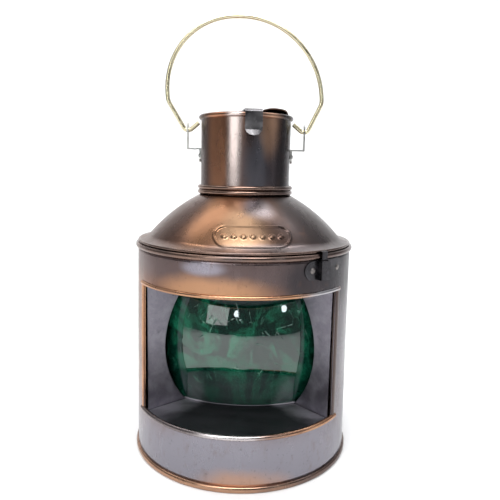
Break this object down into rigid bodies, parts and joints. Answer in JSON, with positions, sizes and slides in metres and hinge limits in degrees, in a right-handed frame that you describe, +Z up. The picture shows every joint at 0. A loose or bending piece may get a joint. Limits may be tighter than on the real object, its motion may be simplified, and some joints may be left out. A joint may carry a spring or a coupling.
{
  "type": "ship lantern",
  "caption": "Round sheet-metal ship lantern with a bulged green glass behind a wide front window, a hinged domed roof, a lidded chimney and a wire bail.",
  "frame": {"origin": "centre of the round base, on the surface the lantern stands on", "axes": "+Z up, -Y to the front (the window), +X to the right seen from the front"},
  "size_m": [0.153, 0.1574, 0.3039],
  "materials": {
    "antique_copper": "antique copper patina over sheet metal, satin with polished patches",
    "bright_copper": "polished copper",
    "panel_metal": "mottled grey sheet, semi-polished",
    "dark_strip": "dark gunmetal strip",
    "nickel_strip": "pale nickel-plated strip",
    "steel_wire": "drawn wire",
    "brass_wire": "brass-plated wire, satin",
    "rivet": "aged rivet",
    "green_glass": "deep bottle green, polished",
    "font_brass": "brass, satin",
    "wick_cotton": "woven cotton"
  },
  "bodies": {
    "lower_body": {"body_shell": "antique_copper", "bottom_hem_wire": "steel_wire", "top_hem_wire": "steel_wire", "base_plate": "antique_copper", "window_shelf": "panel_metal", "window_ceiling": "panel_metal", "window_panel": "panel_metal", "green_glass": "green_glass", "glass_clips": "dark_strip", "keeper_strap": "dark_strip", "keeper_rivets": "rivet", "roof_hinge_body_leaf": "dark_strip", "roof_hinge_pin": "steel_wire", "body_leaf_rivets": "rivet", "oil_font": "font_brass", "font_clips": "dark_strip", "filler_cap": "font_brass", "burner_collar": "font_brass", "burner_plate": "font_brass", "wick_tube": "font_brass", "burner_hood": "font_brass"},
    "roof": {"roof_dome": "antique_copper", "roof_skirt": "dark_strip", "roof_lug": "dark_strip", "roof_hinge_roof_leaf": "dark_strip", "roof_leaf_rivets": "rivet", "chimney_tube": "antique_copper", "chimney_rim_wire": "steel_wire", "chimney_collar": "antique_copper", "ear_right": "nickel_strip", "ear_left": "nickel_strip", "ear_rivets": "rivet", "lid_hinge_chimney_leaf": "dark_strip", "lid_hinge_pin": "steel_wire", "chimney_leaf_rivets": "rivet"},
    "lid": {"chimney_lid": "antique_copper", "lid_tongue": "dark_strip", "tongue_rivet": "rivet", "lid_hinge_lid_leaf": "dark_strip", "lid_leaf_rivets": "rivet"},
    "bail": {"bail": "brass_wire"},
    "wick_turner": {"wick_shaft": "steel_wire", "wick_knob": "font_brass"},
    "wick": {"wick": "wick_cotton"}
  },
  "joints": [
    {"name": "roof_open", "type": "hinge", "parent": "lower_body", "child": "roof", "pos_m": [0, 0.0789, 0.1485], "axis": [-1, 0, 0], "range_deg": [0, 100]},
    {"name": "lid_open", "type": "hinge", "parent": "roof", "child": "lid", "pos_m": [-0.00544, 0.03437, 0.23646], "axis": [-0.9877, -0.1564, 0], "range_deg": [0, 110]},
    {"name": "bail_swing", "type": "hinge", "parent": "roof", "child": "bail", "pos_m": [0, 0, 0.22616], "axis": [1, 0, 0], "range_deg": [-128, 128]},
    {"name": "wick_knob_turn", "type": "hinge", "parent": "lower_body", "child": "wick_turner", "pos_m": [0, 0.03005, 0.0459], "axis": [1, 0, 0], "range_deg": [-110, 110]},
    {"name": "wick_slide", "type": "slide", "parent": "lower_body", "child": "wick", "axis": [0, 0, 1], "range_m": [-0.006, 0.006]}
  ],
  "couplings": [
    {"joint": "wick_slide", "follows": "wick_knob_turn", "m_per_rad": -0.003}
  ]
}
